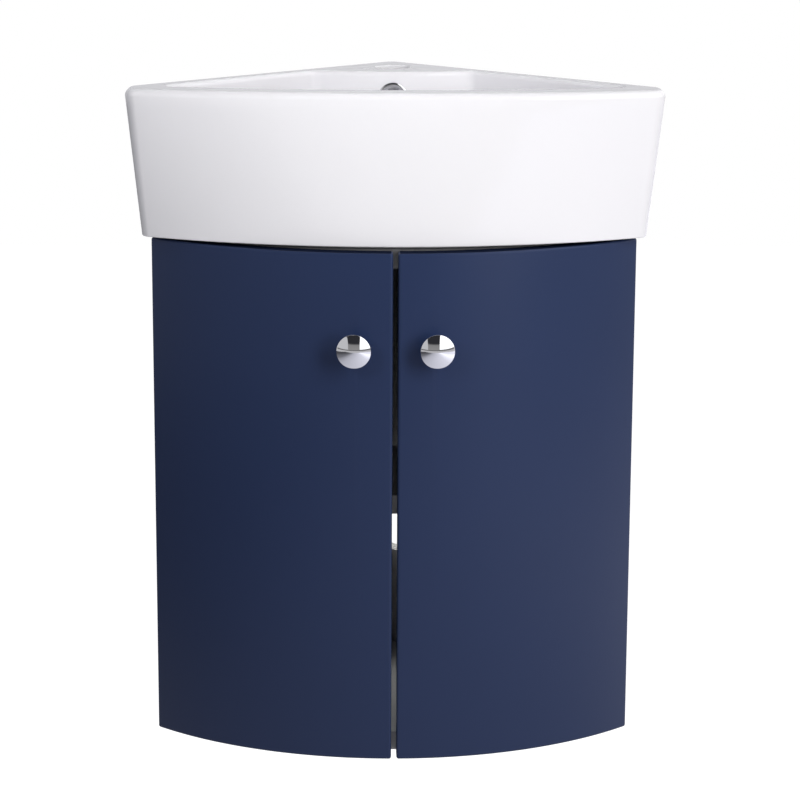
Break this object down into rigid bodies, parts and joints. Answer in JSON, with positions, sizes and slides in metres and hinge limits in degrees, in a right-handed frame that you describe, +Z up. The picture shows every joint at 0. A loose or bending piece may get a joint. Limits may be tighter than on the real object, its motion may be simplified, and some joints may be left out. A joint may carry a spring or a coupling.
{
  "type": "corner vanity unit",
  "caption": "Wall-hung quarter-round vanity unit for a room corner, with curved doors on concealed cup hinges, round knobs and a glazed basin with tap deck and overflow.",
  "frame": {"origin": "the vertical line where the two walls of the room meet, at the level of the doors' lower edges", "axes": "+Z up, -Y out of the room corner to the front of the unit, +X to the right for a person in front of it"},
  "size_m": [0.5, 0.3565, 0.6325],
  "materials": {
    "glazed_ceramic": "white glazed vitreous china",
    "chrome": "polished chrome plate",
    "sealant": "white sanitary sealant, satin",
    "melamine_board": "white melamine-faced chipboard with edging",
    "zinc_screw": "bright zinc plate",
    "zinc_plate": "bright zinc plate, pressed",
    "painted_door": "satin blue lacquer on curved fibreboard",
    "clear_bumper": "clear soft plastic",
    "hinge_steel": "nickel-plated pressed steel",
    "pin_steel": "plain turned steel"
  },
  "bodies": {
    "carcass": {"basin": "glazed_ceramic", "overflow_ring": "chrome", "basin_seal": "sealant", "left_side_panel": "melamine_board", "right_side_panel": "melamine_board", "bottom_board": "melamine_board", "top_board": "melamine_board", "shelf": "melamine_board", "shelf_pins": "zinc_plate", "panel_screws": "zinc_screw", "left_hanging_plate": "zinc_plate", "right_hanging_plate": "zinc_plate", "hanging_plate_screws": "zinc_screw", "upper_left_hinge_arm": "hinge_steel", "lower_left_hinge_arm": "hinge_steel", "upper_right_hinge_arm": "hinge_steel", "lower_right_hinge_arm": "hinge_steel", "upper_left_hinge_plate": "hinge_steel", "lower_left_hinge_plate": "hinge_steel", "upper_right_hinge_plate": "hinge_steel", "lower_right_hinge_plate": "hinge_steel", "arm_pins": "pin_steel", "hinge_plate_screws": "zinc_screw", "hinge_arm_screws": "zinc_screw"},
    "left_links": {"upper_left_hinge_link": "hinge_steel", "lower_left_hinge_link": "hinge_steel"},
    "left_door_leaf": {"left_door": "painted_door", "left_knob": "chrome", "left_knob_screw": "zinc_screw", "left_door_buffers": "clear_bumper", "upper_left_hinge_cup": "hinge_steel", "lower_left_hinge_cup": "hinge_steel", "left_cup_pins": "pin_steel", "left_cup_screws": "zinc_screw"},
    "right_links": {"upper_right_hinge_link": "hinge_steel", "lower_right_hinge_link": "hinge_steel"},
    "right_door_leaf": {"right_door": "painted_door", "right_knob": "chrome", "right_knob_screw": "zinc_screw", "right_door_buffers": "clear_bumper", "upper_right_hinge_cup": "hinge_steel", "lower_right_hinge_cup": "hinge_steel", "right_cup_pins": "pin_steel", "right_cup_screws": "zinc_screw"}
  },
  "joints": [
    {"name": "left_hinge_swing", "type": "hinge", "parent": "carcass", "child": "left_links", "pos_m": [-0.18101, -0.24889, 0.244], "axis": [0, 0, 1], "range_deg": [0, 40.01]},
    {"name": "left_door_swing", "type": "hinge", "parent": "left_links", "child": "left_door_leaf", "pos_m": [-0.20972, -0.23786, 0.244], "axis": [0, 0, -1], "range_deg": [0, 132]},
    {"name": "right_hinge_swing", "type": "hinge", "parent": "carcass", "child": "right_links", "pos_m": [0.18101, -0.24889, 0.244], "axis": [0, 0, -1], "range_deg": [0, 40.01]},
    {"name": "right_door_swing", "type": "hinge", "parent": "right_links", "child": "right_door_leaf", "pos_m": [0.20972, -0.23786, 0.244], "axis": [0, 0, 1], "range_deg": [0, 132]}
  ],
  "couplings": [
    {"joint": "left_hinge_swing", "follows": "left_door_swing", "ratio": 0.30303},
    {"joint": "right_hinge_swing", "follows": "right_door_swing", "ratio": 0.30303}
  ]
}
